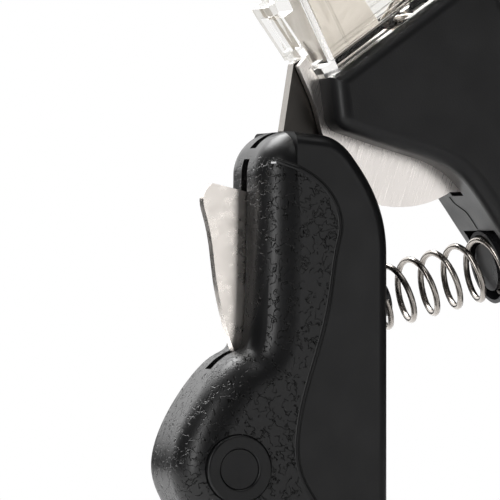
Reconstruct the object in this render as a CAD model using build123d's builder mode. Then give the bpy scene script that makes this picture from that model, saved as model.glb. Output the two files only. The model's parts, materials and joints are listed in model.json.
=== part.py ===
from build123d import *
from math import atan2, cos, pi, radians, sin
import os

os.makedirs("parts", exist_ok=True)

# A squeeze-lever corkscrew standing on the tips of its two handles.
# The tool lies in the XZ plane. Depth is counted from the middle plane towards the front, which is -Y.

# ---- driving dimensions, millimetres ----
pivot_x = -18.77         # lever pivot
pivot_z = 105.12
barrel_tilt = 35.6       # barrel and fixed handle, from the vertical
barrel_offset = 12.1     # worm axis, square distance from the pivot
half_depth = 13.0        # lever and body, half thickness
wall = 2.2
back_rounding = 8.0      # front and rear edges round the back of the lever
grip_depth = 2.8         # thickness of the inset grip
plate_radius = 22.0      # round lower edge of the frame plates, about the pivot
plate_front = (2.0, 4.0)     # depths of the front frame plate
plate_rear = (-9.0, -7.0)
tang_half = 1.6
pin_radius = 2.0
tab_half = 1.2
boss_rise = 0.7          # boss ring above the grip
tab_pivot = (-33.0, -53.0)
band_rounding = 3.0
fixed_handle_end = -130.0
guide_base = 15.0        # where the clear guide meets the head, up the barrel
guide_shoulder = 40.0
guide_end = 82.0
bore_floor = 48.0         # floor of the neck bore, up the barrel
stop_radius = 13.0        # steel stop and cushion let into that floor
neck_radius = 15.5       # bore for the neck of a bottle
tube_radius = 18.6
gear_teeth = 13
gear_module = 1.0
gear_depth = (-6.5, -2.2)
worm_pitch = 9.0
worm_mean_radius = 3.2
worm_wire = 1.2
spring_mean_radius = 6.3
spring_wire = 0.65
spring_pitch = 5.2
spring_length = 27.3

tilt_cos = cos(radians(barrel_tilt))
tilt_sin = sin(radians(barrel_tilt))


def lever_plane(depth):
    """Sketch plane with its origin on the lever pivot, x to the right and y up."""
    return Plane(origin=(pivot_x, -depth, pivot_z), x_dir=(1, 0, 0), z_dir=(0, -1, 0))


foot_x = pivot_x + barrel_offset * tilt_cos
foot_z = pivot_z + barrel_offset * tilt_sin


def barrel_plane(depth):
    """Sketch plane on the worm axis beside the pivot, y up the barrel towards the bottle."""
    return Plane(origin=(foot_x, -depth, foot_z), x_dir=(tilt_cos, 0, tilt_sin), z_dir=(0, -1, 0))


def cross_plane(up):
    """Plane square to the worm axis, its normal towards the bottle and its y to the rear."""
    x = foot_x - up * tilt_sin
    z = foot_z + up * tilt_cos
    return Plane(origin=(x, 0, z), x_dir=(tilt_cos, 0, tilt_sin), z_dir=(-tilt_sin, 0, tilt_cos))


def save(name, piece):
    """Label a finished piece and write it out."""
    piece.part.label = name
    export_step(piece.part, f"parts/{name}.step")


# ---- outlines ----
body_corner = (-29.4, 5.4)
with BuildSketch(Plane.XY) as body_outline:
    with BuildLine():
        left = Line((-24.4, guide_base - 0.2), body_corner)
        belly = Spline(body_corner, (-20.6, -6.0), (-13.6, -15.6), (-11.6, -34.0),
                       tangents=((0.72, -0.9), (0, -1)))
        inner = Line(belly @ 1, (-11.6, -112.0))
        tip = Spline(inner @ 1, (0, fixed_handle_end), (12.0, -112.0), tangents=((0, -1), (0, 1)))
        back = Spline(tip @ 1, (13.6, -80.0), (13.0, -44.0), (19.5, guide_base - 0.2),
                      tangents=((0, 1), (0.2, 1)))
        Line(back @ 1, left @ 0)
    make_face()
    fillet(body_outline.vertices().sort_by(Axis.X)[0], 4.0)

with BuildSketch(Plane.XY) as body_inner:
    Polygon((-21.8, 12.4), (-26.2, 6.0), (-24.4, 1.8), (-17.6, -5.6), (-11.8, -14.6), (-9.4, -30.0),
            (-9.4, -112.0), (-6.5, -122.0), (0, -126.5), (6.0, -123.0), (9.6, -112.0), (11.2, -80.0),
            (10.4, -44.0), (16.6, 12.4), align=None)

with BuildSketch(Plane.XY) as lever_outline:
    with BuildLine():
        crown = Line((-24.9, -6.2), (-21.2, -7.0))
        shoulder = Spline(crown @ 1, (-13.2, -12.2), (-6.0, -32.0), tangents=((1, -0.1), (0, -1)))
        front_edge = Line(shoulder @ 1, (-6.0, -90.0))
        butt = Spline(front_edge @ 1, (-24.0, -105.0), (-44.5, -93.0), tangents=((0, -1), (-0.5, 0.87)))
        palm = Spline(butt @ 1, (-52.4, -76.0), (-40.5, -54.5), (-33.9, -16.0),
                      tangents=((-0.5, 0.87), (0.02, 1)))
        corner = Line(palm @ 1, (-33.9, -15.3))
        TangentArc(corner @ 1, crown @ 0, tangent=(0, 1))
    make_face()

# Squarer band down the front of the lever; its left side lies inside the rounded lever.
with BuildSketch(Plane.XY) as band_outline:
    with BuildLine():
        band_top = Line((-27.0, -6.4), (-21.2, -7.0))
        band_side = Spline(band_top @ 1, (-13.2, -12.2), (-6.0, -32.0), tangents=((1, -0.1), (0, -1)))
        band_edge = Line(band_side @ 1, (-6.0, -90.0))
        band_butt = Spline(band_edge @ 1, (-12.0, -101.0), (-24.0, -104.9), tangents=((0, -1), (-1, -0.1)))
        Polyline(band_butt @ 1, (-24.0, -60.0), (-27.0, -14.0), band_top @ 0)
    make_face()

with BuildSketch(Plane.XY) as lever_inner:
    Polygon((-29.4, -10.4), (-22.4, -10.6), (-15.0, -14.6), (-9.8, -24.0), (-9.0, -34.0), (-9.0, -90.0),
            (-14.0, -98.0), (-24.0, -101.2), (-35.6, -98.0), (-41.4, -90.5), (-48.4, -76.0), (-43.6, -65.4),
            (-36.2, -54.5), (-32.2, -36.0), (-30.0, -14.0), align=None)

# The inset grip covers the back of the lever, from its top seam to a groove down the front.
with BuildSketch(Plane.XY) as panel_outline:
    with BuildLine():
        seam = Spline((-60.0, -11.2), (-33.0, -11.5), (-26.5, -13.6), (-21.6, -16.6), (-17.6, -22.0),
                      (-17.2, -29.0))
        groove = Spline(seam @ 1, (-19.4, -42.0), (-22.6, -54.0), (-26.4, -69.0), (-25.8, -77.5),
                        (-21.5, -85.0), (-17.5, -96.0), (-20.0, -115.0), tangents=(seam % 1, (-0.3, -1)))
        Polyline(groove @ 1, (-60.0, -115.0), seam @ 0)
    make_face()

with BuildSketch(Plane.XY) as plate_outline:
    with BuildLine():
        horn = Line((-24.0, 14.6), (-24.0, 20.2))
        brow = Line(horn @ 1, (-26.6, 19.6))
        cheek = Spline(brow @ 1, (-27.3, 16.0), (-28.4, 10.7), (-30.2, 5.7), (-30.9, 2.5))
        rim = CenterArc((-barrel_offset, 0), plate_radius, 190.0, 76.0)
        Line(cheek @ 1, rim @ 0)
        Polyline(rim @ 1, (-9.3, -25.0), (-5.8, -30.0), (-5.8, -51.0), (-9.3, -54.5), (-9.3, -60.0),
                 (9.3, -60.0), (9.3, -14.0), (-5.6, -14.0), (-5.6, 14.6), horn @ 0)
    make_face()

# ---- body ----
for side, name in ((1, "body_front_shell"), (-1, "body_rear_shell")):
    with BuildPart() as body_shell:
        with BuildSketch(barrel_plane(0)):
            add(body_outline.sketch)
        extrude(amount=side * half_depth)
        outer = body_shell.faces().sort_by(Axis.Y)[0 if side > 0 else -1]
        fillet(outer.edges(), 3.2)
        with BuildSketch(barrel_plane(0)):
            add(body_inner.sketch)
        extrude(amount=side * (half_depth - wall), mode=Mode.SUBTRACT)
        # open top, where the worm passes into the guide
        with BuildSketch(barrel_plane(0)):
            with Locations((-2.2, guide_base)):
                Rectangle(36.0, 8.0)
        extrude(amount=side * 9.6, mode=Mode.SUBTRACT)
        # the plates and the tang leave the head between the shells
        with BuildSketch(barrel_plane(0)):
            with Locations((-9.2, -24.4)):
                Rectangle(40.0, 40.0, align=(Align.MAX, Align.MIN))
        extrude(amount=4.0 if side > 0 else -1.9, mode=Mode.SUBTRACT)
        # seat of the return spring, in the inner wall of the handle
        with BuildSketch(lever_plane(0)):
            with Locations(Location((24.6, -34.0), 14.9)):
                Rectangle(6.0, 16.04)
        extrude(amount=side * 8.02, mode=Mode.SUBTRACT)
        # screw bosses
        with BuildSketch(barrel_plane(0)):
            with Locations((0, -70.0), (0, -112.0)):
                Circle(3.4)
        extrude(amount=side * (half_depth - 1.0))
        with BuildSketch(barrel_plane(0)):
            with Locations((0, -70.0), (0, -112.0)):
                Circle(1.5)
        extrude(amount=side * (half_depth + 1.0), mode=Mode.SUBTRACT)
        with BuildSketch(barrel_plane(side * (half_depth - 0.85))):
            with Locations((0, -70.0), (0, -112.0)):
                Circle(2.65)
        extrude(amount=side * 2.0, mode=Mode.SUBTRACT)
    save(name, body_shell)

with BuildPart() as plate:
    with BuildSketch(barrel_plane(plate_front[0])):
        add(plate_outline.sketch)
    extrude(amount=plate_front[1] - plate_front[0])
    with BuildSketch(lever_plane(plate_front[0])):
        Circle(pin_radius)
    extrude(amount=2.0, mode=Mode.SUBTRACT)
    with BuildSketch(barrel_plane(plate_front[0])):
        with Locations((7.4, -20.0), (7.4, -57.0), (-7.4, -57.0)):
            Circle(1.2)
    extrude(amount=2.0, mode=Mode.SUBTRACT)
save("frame_plate_front", plate)

with BuildPart() as plate:
    with BuildSketch(barrel_plane(plate_rear[0])):
        with BuildLine():
            Polyline((-24.0, 6.0), (-24.0, 2.0), (-16.0, -5.0), (-8.8, -20.0), (-5.8, -30.0), (-5.8, -51.0),
                     (-9.2, -54.5), (-9.2, -60.0), (9.2, -60.0), (9.2, 12.0), (-20.0, 12.0), close=True)
        make_face()
    extrude(amount=plate_rear[1] - plate_rear[0])
    with BuildSketch(lever_plane(plate_rear[0])):
        Circle(pin_radius)
    extrude(amount=2.0, mode=Mode.SUBTRACT)
    with BuildSketch(barrel_plane(plate_rear[0])):
        with Locations((7.4, -20.0), (7.4, -57.0), (-7.4, -57.0)):
            Circle(1.2)
        with Locations((0, 0)):
            SlotOverall(30.0, 2.0, rotation=90)
    extrude(amount=2.0, mode=Mode.SUBTRACT)
save("frame_plate_rear", plate)

with BuildPart() as posts:
    with BuildSketch(barrel_plane(plate_rear[1])):
        with Locations((7.4, -20.0), (7.4, -57.0), (-7.4, -57.0)):
            Circle(1.8)
    extrude(amount=plate_front[0] - plate_rear[1])
    with BuildSketch(barrel_plane(plate_rear[0] - 0.8)):
        with Locations((7.4, -20.0), (7.4, -57.0), (-7.4, -57.0)):
            Circle(1.2)
    extrude(amount=plate_front[1] - plate_rear[0] + 1.6)
save("frame_posts", posts)

with BuildPart() as pin:
    with BuildSketch(lever_plane(plate_rear[0])):
        Circle(pin_radius)
    extrude(amount=plate_front[1] - plate_rear[0])
    for start, height in ((plate_rear[0] - 1.0, 1.0), (plate_front[1], 1.0)):
        with BuildSketch(lever_plane(start)):
            Circle(3.4)
        extrude(amount=height)
save("lever_pivot_pin", pin)

with BuildPart() as screws:
    for height in (-70.0, -112.0):
        with BuildSketch(barrel_plane(half_depth - 0.8)):
            with Locations((0, height)):
                Circle(2.6)
        extrude(amount=0.8)
        with BuildSketch(barrel_plane(-half_depth + 1.0)):
            with Locations((0, height)):
                Circle(1.45)
        extrude(amount=2 * half_depth - 1.8)
save("body_screws", screws)

# ---- clear guide over the neck of the bottle ----
with BuildPart() as guide:
    with BuildSketch(barrel_plane(-10.4)):
        Polygon((-23.4, guide_base), (23.4, guide_base), (19.4, guide_shoulder), (-19.4, guide_shoulder),
                align=None)
    extrude(amount=20.8)
    with BuildSketch(cross_plane(guide_shoulder - 4.0)):
        Circle(tube_radius)
    extrude(amount=guide_end - guide_shoulder + 4.0)
    # rim round the base
    with BuildSketch(cross_plane(guide_base)):
        RectangleRounded(49.6, 23.6, 3.0)
    extrude(amount=2.6)
    # hollow of the box, open towards the head
    with BuildSketch(barrel_plane(-8.6)):
        Polygon((-21.4, guide_base - 1.0), (21.4, guide_base - 1.0), (17.6, guide_shoulder - 2.0),
                (-17.6, guide_shoulder - 2.0), align=None)
    extrude(amount=17.2, mode=Mode.SUBTRACT)
    # bore for the neck, recess in its floor, and the way through for the worm
    with BuildSketch(cross_plane(bore_floor)):
        Circle(neck_radius)
    extrude(amount=60.0, mode=Mode.SUBTRACT)
    with BuildSketch(cross_plane(bore_floor - 4.0)):
        Circle(stop_radius)
    extrude(amount=4.0, mode=Mode.SUBTRACT)
    with BuildSketch(cross_plane(guide_shoulder - 6.0)):
        Circle(5.6)
    extrude(amount=10.0, mode=Mode.SUBTRACT)
    # slot in the left wall that the top of the tang and the plate stand in
    with BuildSketch(barrel_plane(-2.0)):
        with Locations((-25.0, guide_base)):
            Rectangle(2.2, 12.0)
    extrude(amount=6.2, mode=Mode.SUBTRACT)
save("neck_guide", guide)

with BuildPart() as latch:
    with BuildSketch(cross_plane(20.6)):
        with Locations((-24.6, 0)):
            Rectangle(1.6, 10.0)
    extrude(amount=13.0)
    with BuildSketch(cross_plane(22.6)):
        with Locations((-24.6, 0)):
            Rectangle(2.0, 6.4)
    extrude(amount=8.6, mode=Mode.SUBTRACT)
    with BuildSketch(barrel_plane(-5.0)):
        Polygon((-24.0, 30.0), (-24.0, 33.6), (-20.5, 33.6), (-21.1, 30.0), align=None)
    extrude(amount=10.0)
save("guide_latch", latch)

with BuildPart() as block:
    with BuildSketch(barrel_plane(-8.5)):
        Polygon((-20.4, 17.0), (-7.2, 17.0), (-7.2, 37.0), (-17.6, 37.0), align=None)
    extrude(amount=17.0)
    with BuildSketch(barrel_plane(6.5)):
        Polygon((-21.0, 17.0), (-5.0, 17.0), (-5.0, 24.0), (-21.0, 24.0), align=None)
    extrude(amount=3.0, mode=Mode.SUBTRACT)
    with BuildSketch(barrel_plane(-2.0)):
        with Locations((-22.0, 18.0)):
            Rectangle(5.0, 8.0)
    extrude(amount=6.2, mode=Mode.SUBTRACT)
save("guide_block", block)

with BuildPart() as stop:
    with BuildSketch(cross_plane(bore_floor - 4.0)):
        Circle(stop_radius)
        Circle(5.6, mode=Mode.SUBTRACT)
    extrude(amount=1.6)
save("stop_plate", stop)

with BuildPart() as cushion:
    with BuildSketch(cross_plane(bore_floor - 2.4)):
        Circle(stop_radius)
        Circle(7.5, mode=Mode.SUBTRACT)
    extrude(amount=2.4)
save("neck_cushion", cushion)

# ---- mechanism ----
gear_radius = gear_teeth * gear_module / 2
tooth_step = pi * gear_module

with BuildPart() as gear:
    with BuildSketch(lever_plane(gear_depth[0])):
        Circle(gear_radius - 1.1 * gear_module)
        with PolarLocations(gear_radius - 0.2, gear_teeth, start_angle=barrel_tilt):
            with Locations(Location((0, 0), -90)):
                Trapezoid(1.8, 2.0, 76.0)
    extrude(amount=gear_depth[1] - gear_depth[0])
    with BuildSketch(lever_plane(gear_depth[1])):
        Circle(3.2)
    extrude(amount=tang_half - gear_depth[1])
    with BuildSketch(lever_plane(gear_depth[0])):
        Circle(pin_radius + 0.05)
    extrude(amount=10.0, mode=Mode.SUBTRACT)
save("drive_gear", gear)

with BuildPart() as clutch:
    with BuildSketch(lever_plane(-tang_half)):
        Circle(5.0)
        Circle(3.26, mode=Mode.SUBTRACT)
    extrude(amount=2 * tang_half)
save("drive_clutch", clutch)

rack_line = -barrel_offset + gear_radius
with BuildPart() as carriage:
    with BuildSketch(barrel_plane(-6.5)):
        with Locations((-4.6, 0)):
            Rectangle(9.6, 42.0, align=(Align.MIN, Align.MAX))
    extrude(amount=8.2)
    with BuildSketch(barrel_plane(gear_depth[0])):
        with Locations(*[(rack_line + 0.15, -tooth_step * (k + 0.5)) for k in range(13)]):
            with Locations(Location((0, 0), 90)):
                Trapezoid(1.7, 2.1, 76.0)
    extrude(amount=gear_depth[1] - gear_depth[0])
    with BuildSketch(cross_plane(1.0)):
        Circle(2.56)
    extrude(amount=-13.0, mode=Mode.SUBTRACT)
    with BuildSketch(cross_plane(1.0)):
        Circle(3.9)
    extrude(amount=-4.0, mode=Mode.SUBTRACT)
    with BuildSketch(cross_plane(1.0)):
        with Locations((3.6, 5.0)):
            Circle(1.26)
    extrude(amount=-50.0, mode=Mode.SUBTRACT)
save("carriage", carriage)

with BuildPart() as bushing:
    with BuildSketch(cross_plane(0)):
        Circle(3.85)
        Circle(2.56, mode=Mode.SUBTRACT)
    extrude(amount=-3.0)
save("worm_bushing", bushing)

with BuildPart() as rod:
    with BuildSketch(cross_plane(14.0)):
        with Locations((3.6, 5.0)):
            Circle(1.2)
    extrude(amount=-72.0)
save("guide_rod", rod)

with BuildPart() as rod_block:
    with BuildSketch(barrel_plane(-6.9)):
        with Locations((0.6, -57.0)):
            Rectangle(9.0, 5.0)
    extrude(amount=8.8)
    with BuildSketch(cross_plane(0)):
        with Locations((3.6, 5.0)):
            Circle(1.22)
    extrude(amount=-80.0, mode=Mode.SUBTRACT)
save("rod_end_block", rod_block)

worm_length = 33.0
with BuildPart() as worm:
    with BuildSketch(cross_plane(-11.5)):
        Circle(2.5)
    extrude(amount=14.0)
    with BuildSketch(cross_plane(0.6)):
        Circle(worm_mean_radius)
    extrude(amount=2.4)
    with BuildLine() as worm_path:
        Helix(worm_pitch, worm_length, worm_mean_radius, center=cross_plane(2.0).origin,
              direction=cross_plane(2.0).z_dir)
    with BuildSketch(Plane(origin=worm_path.line @ 0, z_dir=worm_path.line % 0)):
        Circle(worm_wire)
    sweep(path=worm_path.line, is_frenet=True)
save("worm", worm)

# ---- lever ----
tang_blade = [(-23.5, -15.0), (-23.5, -64.0), (-12.5, -64.0), (-12.5, -21.0)]
bolt_spot = (-40.0, -76.4)

with BuildPart() as tang:
    with BuildSketch(lever_plane(-tang_half)):
        with BuildLine():
            Polyline((-5.0, -4.6), (-18.1, 4.9), (-21.3, 9.3), (-23.4, 8.0), (-25.7, -6.1), (-25.2, -12.0),
                     *tang_blade, (-5.0, -4.6))
        make_face()
        Circle(6.8)
        Circle(5.05, mode=Mode.SUBTRACT)
    extrude(amount=2 * tang_half)
    with BuildSketch(lever_plane(-tang_half)):
        with Locations((-18.0, -30.0), (-18.0, -56.0)):
            Circle(2.02)
    extrude(amount=2 * tang_half, mode=Mode.SUBTRACT)
save("lever_tang", tang)

with BuildPart() as rivets:
    with BuildSketch(lever_plane(-5.0)):
        with Locations((-18.0, -30.0), (-18.0, -56.0)):
            Circle(2.0)
    extrude(amount=10.0)
save("tang_rivets", rivets)

for side, name in ((1, "front"), (-1, "rear")):
    with BuildPart() as half:
        with BuildSketch(lever_plane(0)):
            add(lever_outline.sketch)
        extrude(amount=side * half_depth)
        fillet(half.faces().sort_by(Axis.Y)[0 if side > 0 else -1].edges(), back_rounding)

    with BuildPart() as band:
        with BuildSketch(lever_plane(0)):
            add(band_outline.sketch)
        extrude(amount=side * half_depth)
        rim_edges = band.faces().sort_by(Axis.Y)[0 if side > 0 else -1].edges()
        fillet(rim_edges.filter_by(lambda edge: edge.center().X > pivot_x - 22.0), band_rounding)

    with BuildPart() as lever_half:
        add(half.part)
        add(band.part)

    # recess for the inset grip, down to an inner core
    with BuildPart() as recess:
        with BuildSketch(lever_plane(0)):
            add(panel_outline.sketch)
            add(lever_inner.sketch, mode=Mode.SUBTRACT)
        extrude(amount=side * (half_depth + 1.0))
        with BuildSketch(lever_plane(side * (half_depth - grip_depth))):
            add(panel_outline.sketch)
        extrude(amount=side * 4.0)

    with BuildPart() as shell:
        add(lever_half.part)
        add(recess.part, mode=Mode.SUBTRACT)
        # pocket for the tang, the tab and the room they need
        with BuildSketch(lever_plane(0)):
            Polygon((-32.0, 4.0), (-32.0, -12.0), (-45.0, -12.0), (-45.0, -57.0), (-28.0, -57.0),
                    (-23.6, -64.1), (-12.4, -64.1), (-12.4, -21.0), (0, -14.0), (0, 4.0), align=None)
        extrude(amount=side * 1.65, mode=Mode.SUBTRACT)
        # slot for the frame plates, round about the pivot
        with BuildSketch(lever_plane(0)):
            Circle(plate_radius + 0.6)
        extrude(amount=4.4 if side > 0 else -1.65, mode=Mode.SUBTRACT)
        with BuildSketch(lever_plane(0)):
            with Locations((-18.0, -30.0), (-18.0, -56.0)):
                Circle(2.02)
        extrude(amount=side * 5.05, mode=Mode.SUBTRACT)
        with BuildSketch(lever_plane(0)):
            with Locations(bolt_spot):
                Circle(2.05)
        extrude(amount=side * 20.0, mode=Mode.SUBTRACT)
        with BuildSketch(lever_plane(0)):
            with Locations(tab_pivot):
                Circle(1.25)
        extrude(amount=side * 4.0, mode=Mode.SUBTRACT)
        # spring spigot hole in the front edge
        with BuildSketch(lever_plane(0)):
            with Locations(Location((-6.0, -42.2), 14.9)):
                Rectangle(5.0, 8.1)
        extrude(amount=side * 4.05, mode=Mode.SUBTRACT)
    save(f"lever_{name}_shell", shell)

    with BuildPart() as panel:
        add(lever_half.part)
        add(recess.part, mode=Mode.INTERSECT)
        with BuildSketch(lever_plane(0)):
            Polygon((-45.0, -12.0), (-45.0, -56.0), (-20.0, -56.0), (-20.0, -12.0), align=None)
        extrude(amount=side * 1.65, mode=Mode.SUBTRACT)
        with BuildSketch(lever_plane(0)):
            with Locations(bolt_spot):
                Circle(7.3)
        extrude(amount=side * 20.0, mode=Mode.SUBTRACT)
    save(f"grip_panel_{name}", panel)

with BuildPart() as rings:
    for side in (1, -1):
        with BuildSketch(lever_plane(side * (half_depth - 2.6))):
            with Locations(bolt_spot):
                Circle(7.1)
                Circle(4.2, mode=Mode.SUBTRACT)
        extrude(amount=side * (2.6 + boss_rise))
    for rim in (rings.faces().sort_by(Axis.Y)[0], rings.faces().sort_by(Axis.Y)[-1]):
        fillet(rim.edges(), 0.5)
save("boss_rings", rings)

with BuildPart() as caps:
    for side in (1, -1):
        with BuildSketch(lever_plane(side * (half_depth - 1.6))):
            with Locations(bolt_spot):
                Circle(4.1)
        extrude(amount=side * (1.5 + 0.5 * boss_rise))
save("boss_caps", caps)

with BuildPart() as bolt:
    with BuildSketch(lever_plane(-half_depth + 1.6)):
        with Locations(bolt_spot):
            Circle(2.0)
    extrude(amount=2 * half_depth - 3.2)
save("lever_bolt", bolt)

# round seat of the return spring, with a spigot inside the coil
spring_start = (-6.0, -42.2)
spring_end = (24.5, -34.1)
spring_angle = atan2(spring_end[1] - spring_start[1], spring_end[0] - spring_start[0])
spring_way = (cos(spring_angle), 0, sin(spring_angle))
seat_origin = (pivot_x + spring_start[0], 0, pivot_z + spring_start[1])


def seat_plane(along):
    """Plane square to the spring, measured from its seat on the lever."""
    x = seat_origin[0] + along * spring_way[0]
    z = seat_origin[2] + along * spring_way[2]
    return Plane(origin=(x, 0, z), x_dir=(0, -1, 0), z_dir=spring_way)


with BuildPart() as seat:
    with BuildSketch(Plane(origin=(pivot_x - 6.0, 0, pivot_z - 42.2), x_dir=(0, -1, 0), z_dir=(1, 0, 0))):
        Circle(8.6)
    extrude(amount=1.2)
    fillet(seat.edges().sort_by(Axis.X)[-1], 1.0)
    with BuildSketch(seat_plane(-2.0)):
        Circle(4.0)
    extrude(amount=6.0)
save("spring_seat", seat)

with BuildPart() as socket:
    with BuildSketch(seat_plane(28.7)):
        Circle(8.0)
    extrude(amount=4.4)
    with BuildSketch(seat_plane(28.7)):
        Circle(7.2)
        Circle(5.2, mode=Mode.SUBTRACT)
    extrude(amount=3.2, mode=Mode.SUBTRACT)
save("spring_socket", socket)

with BuildPart() as spring:
    with BuildLine() as coil:
        Helix(spring_pitch, spring_length, spring_mean_radius, center=seat_plane(3.6).origin,
              direction=seat_plane(3.6).z_dir)
    with BuildSketch(Plane(origin=coil.line @ 0, z_dir=coil.line % 0)):
        Circle(spring_wire)
    sweep(path=coil.line, is_frenet=True)
save("return_spring", spring)

# ---- tab in the back of the lever ----
with BuildPart() as tab:
    with BuildSketch(lever_plane(-tab_half)):
        with BuildLine():
            back = Spline((-41.4, -17.1), (-43.3, -19.4), (-42.5, -25.0), (-40.6, -37.0), (-37.8, -49.0))
            Polyline(back @ 1, (-35.5, -55.6), (-30.6, -55.6), (-31.6, -19.4), back @ 0)
        make_face()
        with Locations(tab_pivot):
            Circle(1.25, mode=Mode.SUBTRACT)
    extrude(amount=2 * tab_half)
    fillet(tab.edges().filter_by(Axis.Y).sort_by(Axis.Z)[-1:], 0.8)
save("release_tab", tab)

with BuildPart() as tab_pin:
    with BuildSketch(lever_plane(-4.0)):
        with Locations(tab_pivot):
            Circle(1.2)
    extrude(amount=8.0)
save("tab_pin", tab_pin)
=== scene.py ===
"""Squeeze-lever corkscrew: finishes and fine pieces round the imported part, with a studio and a camera."""

import json
import math

import bmesh
import bpy
from mathutils import Matrix, Vector
from mathutils.bvhtree import BVHTree


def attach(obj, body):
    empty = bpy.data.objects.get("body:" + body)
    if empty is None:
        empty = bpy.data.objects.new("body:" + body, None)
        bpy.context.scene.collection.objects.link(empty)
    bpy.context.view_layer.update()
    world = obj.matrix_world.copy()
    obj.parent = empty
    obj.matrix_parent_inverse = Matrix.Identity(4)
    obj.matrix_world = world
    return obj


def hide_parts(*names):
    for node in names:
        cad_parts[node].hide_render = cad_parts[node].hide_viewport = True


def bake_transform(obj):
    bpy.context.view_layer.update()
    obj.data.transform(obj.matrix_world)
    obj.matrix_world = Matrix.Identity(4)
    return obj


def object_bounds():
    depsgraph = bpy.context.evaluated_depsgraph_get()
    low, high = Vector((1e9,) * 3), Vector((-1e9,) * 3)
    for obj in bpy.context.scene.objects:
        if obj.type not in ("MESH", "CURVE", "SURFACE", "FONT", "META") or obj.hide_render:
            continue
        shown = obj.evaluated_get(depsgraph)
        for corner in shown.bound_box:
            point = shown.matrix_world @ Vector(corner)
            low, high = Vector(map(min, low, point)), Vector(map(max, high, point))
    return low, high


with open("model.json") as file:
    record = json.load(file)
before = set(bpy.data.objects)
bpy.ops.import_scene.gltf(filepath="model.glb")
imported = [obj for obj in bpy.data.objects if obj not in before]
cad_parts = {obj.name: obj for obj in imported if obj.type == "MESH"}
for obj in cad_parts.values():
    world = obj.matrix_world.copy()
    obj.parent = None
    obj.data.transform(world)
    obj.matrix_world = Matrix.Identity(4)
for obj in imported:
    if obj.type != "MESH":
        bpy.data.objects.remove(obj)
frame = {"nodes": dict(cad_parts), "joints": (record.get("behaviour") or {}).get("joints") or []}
cad_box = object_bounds()

MM = 0.001
TILT = math.radians(35.6)  # barrel and fixed handle, from the vertical

joints = {joint["name"]: joint for joint in frame["joints"]}
PIVOT = Vector(joints["lever_squeeze"]["pos_m"])
BARREL_FOOT = Vector(joints["worm_spin"]["pos_m"])
ACROSS = Vector((math.cos(TILT), 0, math.sin(TILT)))
UP_BARREL = Vector((-math.sin(TILT), 0, math.cos(TILT)))
FRONT = Vector((0, -1, 0))


def lever_point(x, y, depth=0.0):
    """A point given in millimetres from the lever pivot, depth towards the front."""
    return PIVOT + Vector((x, -depth, y)) * MM


def barrel_point(across, up, depth=0.0):
    """A point given in millimetres from the worm axis beside the pivot."""
    return BARREL_FOOT + (ACROSS * across + UP_BARREL * up + FRONT * depth) * MM


# ---------------------------------------------------------------- materials
class Finish:
    """A Principled material with short helpers for the nodes that feed it."""

    def __init__(self, name, colour, roughness, metallic=0.0):
        self.material = bpy.data.materials.new(name)
        self.material.use_nodes = True
        self.tree = self.material.node_tree
        self.shader = self.tree.nodes["Principled BSDF"]
        self.shader.inputs["Base Color"].default_value = (*colour, 1)
        self.shader.inputs["Roughness"].default_value = roughness
        self.shader.inputs["Metallic"].default_value = metallic
        self.place = self.tree.nodes.new("ShaderNodeTexCoord")
        self.position = self.place.outputs["Object"]

    def node(self, kind, links=(), **settings):
        """Add a node, set its properties and link its inputs."""
        made = self.tree.nodes.new(kind)
        for key, value in settings.items():
            setattr(made, key, value)
        for socket, source in links:
            self.tree.links.new(source, made.inputs[socket])
        return made

    def placed(self, scale=(1, 1, 1), turn=(0, 0, 0)):
        """Object coordinates, turned and stretched."""
        turned = self.node("ShaderNodeMapping", [("Vector", self.position)])
        turned.inputs["Rotation"].default_value = turn
        stretched = self.node("ShaderNodeMapping", [("Vector", turned.outputs[0])])
        stretched.inputs["Scale"].default_value = scale
        return stretched.outputs[0]

    def noise(self, scale, vector=None, detail=2.0, distortion=0.0):
        """Noise value at a scale per metre."""
        made = self.node("ShaderNodeTexNoise", [("Vector", vector or self.position)])
        made.inputs["Scale"].default_value = scale
        made.inputs["Detail"].default_value = detail
        made.inputs["Distortion"].default_value = distortion
        return made.outputs["Fac"]

    def spread(self, value, low, high, start=0.3, end=0.7):
        """Map a noise value to a range."""
        made = self.node("ShaderNodeMapRange", [("Value", value)])
        made.inputs["From Min"].default_value = start
        made.inputs["From Max"].default_value = end
        made.inputs["To Min"].default_value = low
        made.inputs["To Max"].default_value = high
        return made.outputs[0]

    def mix(self, value, dark, light):
        """Two colours mixed by a value."""
        made = self.node("ShaderNodeMix", data_type="RGBA")
        self.tree.links.new(value, made.inputs["Factor"])
        made.inputs[6].default_value = (*dark, 1)
        made.inputs[7].default_value = (*light, 1)
        return made.outputs[2]

    def feed(self, socket, source):
        self.tree.links.new(source, self.shader.inputs[socket])

    def bump(self, height, distance, strength=1.0, below=None):
        """Bump from a height value, on top of an earlier bump."""
        made = self.node("ShaderNodeBump", [("Height", height)])
        made.inputs["Distance"].default_value = distance
        made.inputs["Strength"].default_value = strength
        if below is not None:
            self.tree.links.new(below, made.inputs["Normal"])
        self.feed("Normal", made.outputs[0])
        return made.outputs[0]


def satin_black(name, tint, roughness, grain_depth):
    """Moulded black plastic with a fine spark-eroded grain and slight wear in the sheen."""
    finish = Finish(name, tint, roughness)
    finish.shader.inputs["Specular IOR Level"].default_value = 0.3
    cloudy = finish.noise(60, detail=3)
    finish.feed("Base Color", finish.mix(cloudy, tint, [c * 1.6 for c in tint]))
    finish.feed("Roughness", finish.spread(finish.noise(140, detail=4), roughness - 0.04, roughness + 0.05))
    fine = finish.bump(finish.noise(2600, detail=1), 0.00005, grain_depth)
    finish.bump(finish.noise(300, detail=2), 0.0001, 0.04, below=fine)
    return finish.material


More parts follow.
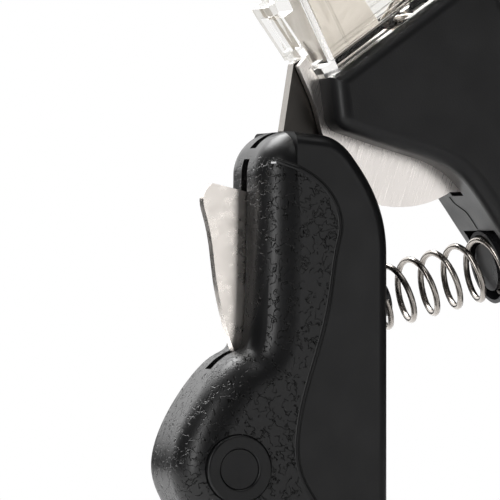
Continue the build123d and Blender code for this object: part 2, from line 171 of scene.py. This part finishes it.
def worm_track_grip():
    """Soft black grip covered in short curled grooves, as moulded camera leather is."""
    finish = Finish("worm_track_grip", (0.005, 0.005, 0.0054), 0.32)
    finish.shader.inputs["Specular IOR Level"].default_value = 0.4
    warp = finish.node("ShaderNodeTexNoise", [("Vector", finish.position)])
    warp.inputs["Scale"].default_value = 900
    warp.inputs["Detail"].default_value = 0.0
    pushed = finish.node("ShaderNodeVectorMath", [(0, warp.outputs["Color"])], operation="SCALE")
    pushed.inputs["Scale"].default_value = 0.0016
    both = [(0, finish.position), (1, pushed.outputs[0])]
    moved = finish.node("ShaderNodeVectorMath", both, operation="ADD")
    field = finish.noise(620, moved.outputs[0], detail=0.6)
    centred = finish.node("ShaderNodeMath", [(0, field)], operation="SUBTRACT")
    centred.inputs[1].default_value = 0.5
    size = finish.node("ShaderNodeMath", [(0, centred.outputs[0])], operation="ABSOLUTE")
    line = finish.spread(size.outputs[0], 1.0, 0.0, 0.008, 0.04)
    breaks = finish.spread(finish.noise(800, detail=0.0), 0.0, 1.0, 0.38, 0.46)
    tracks = finish.node("ShaderNodeMath", [(0, line), (1, breaks)], operation="MULTIPLY").outputs[0]
    raised = finish.node("ShaderNodeMath", [(1, tracks)], operation="SUBTRACT")
    raised.inputs[0].default_value = 1.0
    # painted shade: the base colour is darker inside the grooves, where shade falls
    finish.feed("Base Color", finish.mix(tracks, (0.005, 0.005, 0.0054), (0.002, 0.002, 0.002)))
    finish.feed("Roughness", finish.spread(tracks, 0.36, 0.30, 0.0, 1.0))
    deep = finish.bump(raised.outputs[0], 0.0011, 1.0)
    finish.bump(finish.noise(2800, detail=1), 0.00005, 0.3, below=deep)
    return finish.material


def brushed_steel(name, tint, roughness, turn, depth=0.25, face=None):
    """Steel brushed one way, streaks along the turned local X; its flat front and back may take a darker
    colour, as painted shade.
    """
    finish = Finish(name, tint, roughness, metallic=1.0)
    streaks = finish.noise(1.0, finish.placed((90, 8000, 8000), turn), detail=3)
    colour = finish.mix(streaks, [c * 0.84 for c in tint], tint)
    # painted shade: faces looking along Y take the darker face colour, the edges keep the tint
    if face is not None:
        split = finish.node("ShaderNodeSeparateXYZ", [("Vector", finish.place.outputs["Normal"])])
        flat = finish.node("ShaderNodeMath", [(0, split.outputs["Y"])], operation="ABSOLUTE")
        sides = finish.node("ShaderNodeMix", [("Factor", flat.outputs[0])], data_type="RGBA")
        finish.tree.links.new(colour, sides.inputs[6])
        finish.tree.links.new(finish.mix(streaks, [c * 0.7 for c in face], face), sides.inputs[7])
        colour = sides.outputs[2]
    finish.feed("Base Color", colour)
    finish.feed("Roughness", finish.spread(streaks, roughness - 0.06, roughness + 0.1))
    finish.bump(streaks, 0.00002, depth)
    return finish.material


def bright_steel(name, tint, roughness):
    """Drawn or turned bright steel."""
    finish = Finish(name, tint, roughness, metallic=1.0)
    haze = finish.noise(500, detail=3)
    finish.feed("Base Color", finish.mix(haze, [c * 0.93 for c in tint], tint))
    finish.feed("Roughness", finish.spread(haze, roughness - 0.04, roughness + 0.06))
    finish.bump(finish.noise(2500), 0.00001, 0.2)
    return finish.material


def clear_plastic():
    """Clear moulded polycarbonate, a little milky."""
    finish = Finish("clear_plastic", (0.93, 0.925, 0.91), 0.06)
    finish.shader.inputs["Transmission Weight"].default_value = 1.0
    finish.shader.inputs["IOR"].default_value = 1.16
    finish.feed("Base Color", finish.mix(finish.noise(90, detail=2), (0.88, 0.87, 0.85), (0.96, 0.955, 0.94)))
    finish.feed("Roughness", finish.spread(finish.noise(200, detail=3), 0.03, 0.12))
    finish.bump(finish.noise(120, detail=2), 0.0002, 0.12)
    return finish.material


def rubber():
    finish = Finish("neck_rubber", (0.03, 0.03, 0.03), 0.7)
    finish.bump(finish.noise(1800), 0.00008, 0.4)
    return finish.material


BODY_BLACK = satin_black("body_black", (0.006, 0.006, 0.0064), 0.40, 0.4)
LEVER_BLACK = satin_black("lever_black", (0.004, 0.004, 0.0043), 0.34, 0.14)
GRIP = worm_track_grip()
PLATE_STEEL = brushed_steel("plate_steel", (0.95, 0.90, 0.86), 0.30, (0, 1.25, 0))
# painted shade: the tang's steel is darker than the plates' steel, and its flat faces darker still
TANG_STEEL = brushed_steel("tang_steel", (0.30, 0.28, 0.255), 0.34, (0, 0.9, 0), 0.3, (0.07, 0.065, 0.06))
BLOCK_STEEL = brushed_steel("block_steel", (0.60, 0.56, 0.51), 0.34, (0, 1.1, 0))
TAB_STEEL = bright_steel("tab_steel", (0.99, 0.93, 0.87), 0.28)
WIRE_STEEL = bright_steel("wire_steel", (0.38, 0.35, 0.32), 0.24)
TURNED_STEEL = bright_steel("turned_steel", (0.7, 0.69, 0.67), 0.25)
BRASS = bright_steel("bush_brass", (0.75, 0.55, 0.27), 0.3)
CLEAR = clear_plastic()
DARK_FITTING = satin_black("dark_fitting", (0.010, 0.010, 0.011), 0.28, 0.1)
# painted shade: pitch-black rough cord laid along cracks and parting lines, where shade falls
SEAM_SHADE = satin_black("seam_shade", (0.002, 0.002, 0.002), 0.6, 0.1)
# painted highlight: grey for a small bar where light catches a notch at the grip panel's top
NOTCH_HIGHLIGHT_GREY = satin_black("notch_highlight_grey", (0.42, 0.42, 0.43), 0.4, 0.1)
RUBBER = rubber()

FINISHES = {
    "body_front_shell": BODY_BLACK,
    "body_rear_shell": BODY_BLACK,
    "lever_front_shell": LEVER_BLACK,
    "lever_rear_shell": LEVER_BLACK,
    "grip_panel_front": GRIP,
    "grip_panel_rear": GRIP,
    "boss_rings": LEVER_BLACK,
    "boss_caps": LEVER_BLACK,
    "frame_plate_front": PLATE_STEEL,
    "frame_plate_rear": PLATE_STEEL,
    "lever_tang": TANG_STEEL,
    "guide_block": BLOCK_STEEL,
    "stop_plate": BLOCK_STEEL,
    "carriage": BLOCK_STEEL,
    "frame_posts": TURNED_STEEL,
    "rod_end_block": BLOCK_STEEL,
    "release_tab": TAB_STEEL,
    "worm": WIRE_STEEL,
    "guide_rod": TURNED_STEEL,
    "lever_pivot_pin": TURNED_STEEL,
    "tang_rivets": TURNED_STEEL,
    "tab_pin": TURNED_STEEL,
    "lever_bolt": TURNED_STEEL,
    "body_screws": TURNED_STEEL,
    "drive_gear": TURNED_STEEL,
    "drive_clutch": TURNED_STEEL,
    "worm_bushing": BRASS,
    "neck_guide": CLEAR,
    "guide_latch": CLEAR,
    "spring_socket": DARK_FITTING,
    "spring_seat": DARK_FITTING,
    "neck_cushion": RUBBER,
}


def dress(piece, material):
    """Give a piece one material."""
    piece.data.materials.clear()
    piece.data.materials.append(material)


for node, material in FINISHES.items():
    dress(frame["nodes"][node], material)


def shade_round(piece, angle=35.0):
    """Smooth shading that keeps edges sharper than the angle."""
    for face in piece.data.polygons:
        face.use_smooth = True
    piece.data.set_sharp_from_angle(angle=math.radians(angle))


# ---------------------------------------------------------------- pieces swept along a path
def sweep_group():
    """Geometry Nodes: a round bar swept along the edges of the mesh it is given."""
    group = bpy.data.node_groups.new("round_sweep", "GeometryNodeTree")
    face = group.interface
    face.new_socket("Geometry", in_out="INPUT", socket_type="NodeSocketGeometry")
    radius = face.new_socket("Radius", in_out="INPUT", socket_type="NodeSocketFloat")
    sides = face.new_socket("Sides", in_out="INPUT", socket_type="NodeSocketInt")
    material = face.new_socket("Material", in_out="INPUT", socket_type="NodeSocketMaterial")
    face.new_socket("Geometry", in_out="OUTPUT", socket_type="NodeSocketGeometry")
    start = group.nodes.new("NodeGroupInput")
    path = group.nodes.new("GeometryNodeMeshToCurve")
    circle = group.nodes.new("GeometryNodeCurvePrimitiveCircle")
    bar = group.nodes.new("GeometryNodeCurveToMesh")
    bar.inputs["Fill Caps"].default_value = True
    dressed = group.nodes.new("GeometryNodeSetMaterial")
    end = group.nodes.new("NodeGroupOutput")
    for source, target in (
        (start.outputs["Geometry"], path.inputs[0]),
        (start.outputs["Radius"], circle.inputs["Radius"]),
        (start.outputs["Sides"], circle.inputs["Resolution"]),
        (path.outputs[0], bar.inputs["Curve"]),
        (circle.outputs[0], bar.inputs["Profile Curve"]),
        (bar.outputs[0], dressed.inputs["Geometry"]),
        (start.outputs["Material"], dressed.inputs["Material"]),
        (dressed.outputs[0], end.inputs[0]),
    ):
        group.links.new(source, target)
    return group, radius.identifier, sides.identifier, material.identifier


SWEEP = sweep_group()


def swept(name, points, radius, material, sides=12):
    """A round bar along points, radius in millimetres, made into a plain mesh."""
    group, radius_socket, sides_socket, material_socket = SWEEP
    data = bpy.data.meshes.new(name)
    data.from_pydata([tuple(p) for p in points], [(k, k + 1) for k in range(len(points) - 1)], [])
    piece = bpy.data.objects.new(name, data)
    bpy.context.scene.collection.objects.link(piece)
    modifier = piece.modifiers.new("sweep", "NODES")
    modifier.node_group = group
    modifier[radius_socket] = radius * MM
    modifier[sides_socket] = sides
    modifier[material_socket] = material
    view_layer = bpy.context.evaluated_depsgraph_get()
    plain = bpy.data.meshes.new_from_object(piece.evaluated_get(view_layer))
    piece.modifiers.clear()
    piece.data = plain
    welded = bmesh.new()
    welded.from_mesh(plain)
    bmesh.ops.remove_doubles(welded, verts=welded.verts, dist=1e-7)
    bmesh.ops.recalc_face_normals(welded, faces=welded.faces)
    welded.to_mesh(plain)
    welded.free()
    dress(piece, material)
    shade_round(piece, 50.0)
    return piece


def smoothed(points, steps=6):
    """Catmull-Rom curve through flat points."""

    def between(p, q, r, s, t):
        linear = (r - p) * t
        square = (2 * p - 5 * q + 4 * r - s) * t ** 2
        cubic = (3 * q - p - 3 * r + s) * t ** 3
        return 0.5 * (2 * q + linear + square + cubic)

    ends = [points[0]] + list(points) + [points[-1]]
    curve = []
    for around in zip(ends, ends[1:], ends[2:], ends[3:]):
        for k in range(steps):
            curve.append(tuple(between(*values, k / steps) for values in zip(*around)))
    curve.append(tuple(points[-1]))
    return curve


def beside(points, distance):
    """The same flat path moved to its left by a distance."""
    moved = []
    for k, (x, y) in enumerate(points):
        x0, y0 = points[max(k - 1, 0)]
        x1, y1 = points[min(k + 1, len(points) - 1)]
        length = math.hypot(x1 - x0, y1 - y0)
        moved.append((x - (y1 - y0) / length * distance, y + (x1 - x0) / length * distance))
    return moved


def skin(*nodes):
    """Search trees of nodes' surfaces, for laying a piece on them."""
    trees = []
    for node in nodes:
        item = frame["nodes"][node]
        whole = bmesh.new()
        whole.from_mesh(item.data)
        whole.transform(item.matrix_world)
        trees.append(BVHTree.FromBMesh(whole))
        whole.free()
    return trees


def laid_on(trees, points, side, sunk):
    """Points on the outermost skin seen from the front (side 1) or the rear (side -1), sunk in by a depth."""
    found = []
    for point in points:
        hits = [tree.ray_cast(point + FRONT * side * 0.1, -FRONT * side)[0] for tree in trees]
        hits = [hit for hit in hits if hit is not None]
        if hits:
            outer = max(hits, key=lambda hit: hit.dot(FRONT) * side)
            found.append(outer - FRONT * side * sunk * MM)
    return found


# ---------------------------------------------------------------- return spring
SPRING_START = (-6.0, -42.2)
SPRING_END = (24.5, -34.1)


def return_spring(first=1.9, last=31.2, turns=5.3, radius=6.3, wire=0.65, steps=34):
    """Compression spring between the lever and the fixed handle."""
    start = lever_point(*SPRING_START)
    way = (lever_point(*SPRING_END) - start).normalized()
    other = way.cross(FRONT)
    centres = []
    count = int(turns * steps)
    for k in range(count + 1):
        angle = 2 * math.pi * turns * k / count
        along = first + (last - first) * k / count
        out = FRONT * math.cos(angle) + other * math.sin(angle)
        centres.append(start + (way * along + out * radius) * MM)
    piece = swept("coil_spring", centres, wire, WIRE_STEEL)
    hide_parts("return_spring")
    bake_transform(piece)


return_spring()

# ---------------------------------------------------------------- lever details
PANEL_TOP = -11.8  # top of the grip panel's edge, below the pivot
PANEL_FOOT = -96.0
EDGE_DEPTH = 10.6  # inside the panel's thickness, where its edge wall stands
EDGE_POINTS = 140
GROOVE_OFFSET = 0.1  # clear of the crack between panel and shell
LIP_OFFSET = 0.62


def panel_edge(place, side):
    """The edge of a packed grip panel beside the smooth shell, from its top seam down, as flat points."""
    tree = skin("grip_panel_" + place)[0]
    edge = []
    for k in range(EDGE_POINTS + 1):
        # closer together at the top, where the edge runs nearly level
        height = PANEL_TOP + (PANEL_FOOT - PANEL_TOP) * (k / EDGE_POINTS) ** 1.3
        hit = tree.ray_cast(lever_point(0, height, side * EDGE_DEPTH), Vector((-1, 0, 0)))[0]
        if hit is not None:
            edge.append(((hit.x - PIVOT.x) / MM, height))
    return edge


def lever_details():
    """Groove round each grip panel with a dark cord in it as painted shade, the rolled lip beside it, and a
    grey bar at the panel's top as a painted highlight on a notch.
    """
    trees = skin("lever_front_shell", "lever_rear_shell", "grip_panel_front", "grip_panel_rear")
    for side, place in ((1, "front"), (-1, "rear")):
        edge = panel_edge(place, side)
        groove = beside(edge, -GROOVE_OFFSET)
        lip = beside(edge, -LIP_OFFSET)
        for name, path, radius, sunk, material in (
            # painted shade: the groove is a dark cord beside the crack
            ("panel_groove_", groove, 0.22, 0.12, SEAM_SHADE),
            ("panel_lip_", lip, 0.55, 0.32, LEVER_BLACK),
        ):
            points = laid_on(trees, [lever_point(x, y) for x, y in path], side, sunk)
            piece = swept(name + place, points, radius, material)
            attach(piece, "lever")
    # painted highlight: a grey bar across the panel's top where light catches a notch
    notch_glint = laid_on(trees, [lever_point(x, -13.0) for x in (-31.6, -30.9, -30.2)], 1, 0.3)
    piece = swept("grip_notch_highlight", notch_glint, 0.42, NOTCH_HIGHLIGHT_GREY, sides=4)
    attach(piece, "lever")


lever_details()


# ---------------------------------------------------------------- parting line of the body
def body_seam():
    """Parting line of the two shells down the fixed handle's inner face, with a step below the plate, as a
    dark cord of painted shade.
    """
    trees = skin("body_front_shell", "body_rear_shell")
    path = [(-24.6, -3.6), (-26.2, -3.4), (-27.4, -1.9), (-28.6, -0.4), (-30.0, 0.0)]
    path += [(-33.0 - 3.0 * k, 0.0) for k in range(27)]
    points = []
    for up, depth in smoothed(path, 4):
        hits = [tree.ray_cast(barrel_point(-30.0, up, depth), ACROSS)[0] for tree in trees]
        hits = [hit for hit in hits if hit is not None and (hit - BARREL_FOOT).dot(ACROSS) < -0.008]
        if hits:
            points.append(min(hits, key=lambda hit: hit.dot(ACROSS)))
    # painted shade: a thin dark cord along the gap between the shells
    piece = swept("body_parting_line", points, 0.14, SEAM_SHADE, sides=8)
    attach(piece, "root")


body_seam()


# ---------------------------------------------------------------- lines moulded in the clear guide
def guide_lines():
    """Step lines across the foot of the clear guide, and an edge and a rib beside its left corner."""
    pieces = []
    for side, place in ((1, "front"), (-1, "rear")):
        for number, up in enumerate((18.0, 18.9, 19.9)):
            points = [barrel_point(across, up, side * 10.45) for across in (-22.2, 22.2)]
            pieces.append(swept(f"guide_step_{place}_{number}", points, 0.16, CLEAR, sides=8))
        for number, (foot, top) in enumerate(((-22.4, -18.8), (-17.0, -14.2))):
            points = [barrel_point(foot, 18.4, side * 10.4), barrel_point(top, 39.0, side * 10.4)]
            pieces.append(swept(f"guide_edge_{place}_{number}", points, 0.35, CLEAR, sides=8))
    for piece in pieces:
        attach(piece, "root")


guide_lines()


# ---------------------------------------------------------------- studio
def studio():
    """Pale round table, white surround and soft lamps."""
    scene = bpy.context.scene
    scene.view_settings.view_transform = "Standard"
    centre = (Vector(cad_box[0]) + Vector(cad_box[1])) / 2

    mesh = bmesh.new()
    bmesh.ops.create_circle(mesh, cap_ends=True, segments=96, radius=0.33)
    data = bpy.data.meshes.new("table")
    mesh.to_mesh(data)
    mesh.free()
    table = bpy.data.objects.new("table", data)
    table.data.transform(Matrix.Translation((centre.x, 0, -0.0003)))
    scene.collection.objects.link(table)
    pale = Finish("pale_table", (0.86, 0.86, 0.86), 0.7)
    pale.feed("Base Color", pale.mix(pale.noise(20), (0.84, 0.84, 0.84), (0.9, 0.9, 0.9)))
    dress(table, pale.material)

    world = bpy.data.worlds.new("surround")
    world.use_nodes = True
    scene.world = world
    tree = world.node_tree
    light = tree.nodes["Background"]
    light.inputs["Strength"].default_value = 0.04
    light.inputs["Color"].default_value = (1, 1, 1, 1)
    seen = tree.nodes.new("ShaderNodeBackground")
    seen.inputs["Strength"].default_value = 1.0
    seen.inputs["Color"].default_value = (1, 1, 1, 1)
    path = tree.nodes.new("ShaderNodeLightPath")
    either = tree.nodes.new("ShaderNodeMath")
    either.operation = "MAXIMUM"
    tree.links.new(path.outputs["Is Camera Ray"], either.inputs[0])
    tree.links.new(path.outputs["Is Transmission Ray"], either.inputs[1])
    choice = tree.nodes.new("ShaderNodeMixShader")
    tree.links.new(either.outputs[0], choice.inputs[0])
    tree.links.new(light.outputs[0], choice.inputs[1])
    tree.links.new(seen.outputs[0], choice.inputs[2])
    tree.links.new(choice.outputs[0], tree.nodes["World Output"].inputs[0])

    def lamp(name, place, width, height, power):
        made = bpy.data.lights.new(name, "AREA")
        made.shape = "RECTANGLE"
        made.size = width
        made.size_y = height
        made.energy = power
        item = bpy.data.objects.new(name, made)
        item.location = centre + Vector(place)
        item.rotation_euler = (-Vector(place)).to_track_quat("-Z", "Y").to_euler()
        scene.collection.objects.link(item)

    lamp("top_box", (0.10, -0.30, 0.80), 0.6, 0.4, 1.6)
    lamp("sweep_box", (-0.10, 0.40, 0.60), 0.6, 0.4, 9.0)
    lamp("left_strip", (-0.85, -0.45, 0.15), 0.16, 0.9, 4.2)
    lamp("front_box", (0.42, -0.85, 0.06), 0.42, 0.5, 0.85)
    lamp("right_strip", (0.85, 0.15, 0.15), 0.30, 0.9, 2.6)
    lamp("back_box", (-0.25, 0.90, 0.35), 0.8, 0.6, 3.0)


studio()

# ---------------------------------------------------------------- camera
VIEW_TURN = math.radians(-21.0)  # seen from the front, a little to the left
FRAME_WIDTH = 0.105  # width of the view at the object, in metres
DISTANCE = 0.9


def camera():
    """Camera level with the middle of the lever, close in on the lever's top, the spring and the head."""
    data = bpy.data.cameras.new("view")
    data.sensor_width = 36.0
    data.lens = data.sensor_width * DISTANCE / FRAME_WIDTH
    item = bpy.data.objects.new("view", data)
    target = lever_point(-32.6, -31.1)
    ahead = Vector((-math.sin(VIEW_TURN), math.cos(VIEW_TURN), 0))
    item.location = target - ahead * DISTANCE
    item.rotation_euler = ahead.to_track_quat("-Z", "Y").to_euler()
    bpy.context.scene.collection.objects.link(item)
    bpy.context.scene.camera = item


camera()
